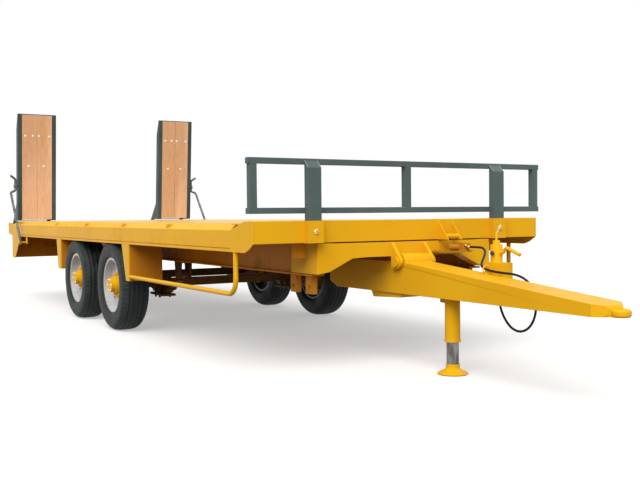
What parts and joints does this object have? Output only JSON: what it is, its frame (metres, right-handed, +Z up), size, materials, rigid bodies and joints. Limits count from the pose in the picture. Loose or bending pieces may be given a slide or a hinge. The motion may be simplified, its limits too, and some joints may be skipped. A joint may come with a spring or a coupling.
{
  "type": "equipment trailer",
  "caption": "Low flatbed equipment trailer with tandem axles, folding rear ramps, a headboard frame, a box drawbar with towing eye and a drop-leg jack.",
  "frame": {"origin": "on the ground, below the middle of the trailer's box", "axes": "+X forwards to the towing eye, +Y to the left, +Z up"},
  "size_m": [9.53, 2.69, 2.4573],
  "materials": {
    "yellow_paint": "gloss",
    "slate_paint": "satin",
    "ramp_paint": "satin",
    "bright_steel": "satin",
    "rim_silver": "satin",
    "tyre_rubber": "matte",
    "ramp_wood": "matte",
    "hose_rubber": "satin"
  },
  "bodies": {
    "chassis": {"main_beam_left": "yellow_paint", "main_beam_right": "yellow_paint", "cross_bearers": "yellow_paint", "neck_crossmember": "yellow_paint", "front_beam": "yellow_paint", "corner_plates": "yellow_paint", "side_rail_left": "yellow_paint", "side_rail_right": "yellow_paint", "rear_beam": "yellow_paint", "rear_panel": "yellow_paint", "tail_plates": "yellow_paint", "ramp_hinge_lugs": "yellow_paint", "post_sockets": "yellow_paint", "mudguards": "yellow_paint", "side_guard_left": "yellow_paint", "side_guard_right": "yellow_paint", "drawbar": "yellow_paint", "drawbar_ears": "yellow_paint", "towing_eye": "yellow_paint", "stay_catches": "yellow_paint", "hitch_bracket": "yellow_paint", "front_lugs": "yellow_paint", "axle_front": "yellow_paint", "axle_rear": "yellow_paint", "leaf_springs": "yellow_paint", "axle_clamps": "yellow_paint", "spring_hangers": "yellow_paint", "jack_tube": "yellow_paint", "hand_pump": "yellow_paint", "pump_handle": "yellow_paint", "hose_ring": "yellow_paint", "drawbar_pin": "yellow_paint", "valve_block": "yellow_paint", "headboard_frame": "slate_paint", "headboard_posts": "slate_paint", "deck_floor": "yellow_paint", "ramp_hinge_pins": "bright_steel", "brake_hose": "hose_rubber"},
    "wheel_front_left": {"tyre_front_left": "tyre_rubber", "rim_front_left": "rim_silver", "hub_front_left": "yellow_paint"},
    "wheel_front_right": {"tyre_front_right": "tyre_rubber", "rim_front_right": "rim_silver", "hub_front_right": "yellow_paint"},
    "wheel_rear_left": {"tyre_rear_left": "tyre_rubber", "rim_rear_left": "rim_silver", "hub_rear_left": "yellow_paint"},
    "wheel_rear_right": {"tyre_rear_right": "tyre_rubber", "rim_rear_right": "rim_silver", "hub_rear_right": "yellow_paint"},
    "ramp_left": {"ramp_frame_left": "ramp_paint", "ramp_boards_left": "ramp_wood"},
    "stay_left": {"ramp_stay_left": "bright_steel"},
    "ramp_right": {"ramp_frame_right": "ramp_paint", "ramp_boards_right": "ramp_wood"},
    "stay_right": {"ramp_stay_right": "bright_steel"},
    "jack_leg_assembly": {"jack_leg": "bright_steel", "jack_foot": "yellow_paint"}
  },
  "joints": [
    {"name": "wheel_spin_front_left", "type": "hinge", "parent": "chassis", "child": "wheel_front_left", "pos_m": [-0.292, 1.104, 0.4335], "axis": [0, 1, 0], "continuous": true},
    {"name": "wheel_spin_front_right", "type": "hinge", "parent": "chassis", "child": "wheel_front_right", "pos_m": [-0.292, -1.104, 0.4335], "axis": [0, 1, 0], "continuous": true},
    {"name": "wheel_spin_rear_left", "type": "hinge", "parent": "chassis", "child": "wheel_rear_left", "pos_m": [-1.508, 1.104, 0.4335], "axis": [0, 1, 0], "continuous": true},
    {"name": "wheel_spin_rear_right", "type": "hinge", "parent": "chassis", "child": "wheel_rear_right", "pos_m": [-1.508, -1.104, 0.4335], "axis": [0, 1, 0], "continuous": true},
    {"name": "ramp_fold_left", "type": "hinge", "parent": "chassis", "child": "ramp_left", "pos_m": [-4.61, 0.98, 0.9], "axis": [0, -1, 0], "range_deg": [0, 139]},
    {"name": "stay_swing_left", "type": "hinge", "parent": "ramp_left", "child": "stay_left", "pos_m": [-4.26326, 1.254, 1.50231], "axis": [0, 1, 0], "range_deg": [0, 35]},
    {"name": "ramp_fold_right", "type": "hinge", "parent": "chassis", "child": "ramp_right", "pos_m": [-4.61, -0.98, 0.9], "axis": [0, -1, 0], "range_deg": [0, 139]},
    {"name": "stay_swing_right", "type": "hinge", "parent": "ramp_right", "child": "stay_right", "pos_m": [-4.26326, -1.254, 1.50231], "axis": [0, 1, 0], "range_deg": [0, 35]},
    {"name": "jack_slide", "type": "slide", "parent": "chassis", "child": "jack_leg_assembly", "axis": [0, 0, 1], "range_m": [0, 0.14]}
  ]
}
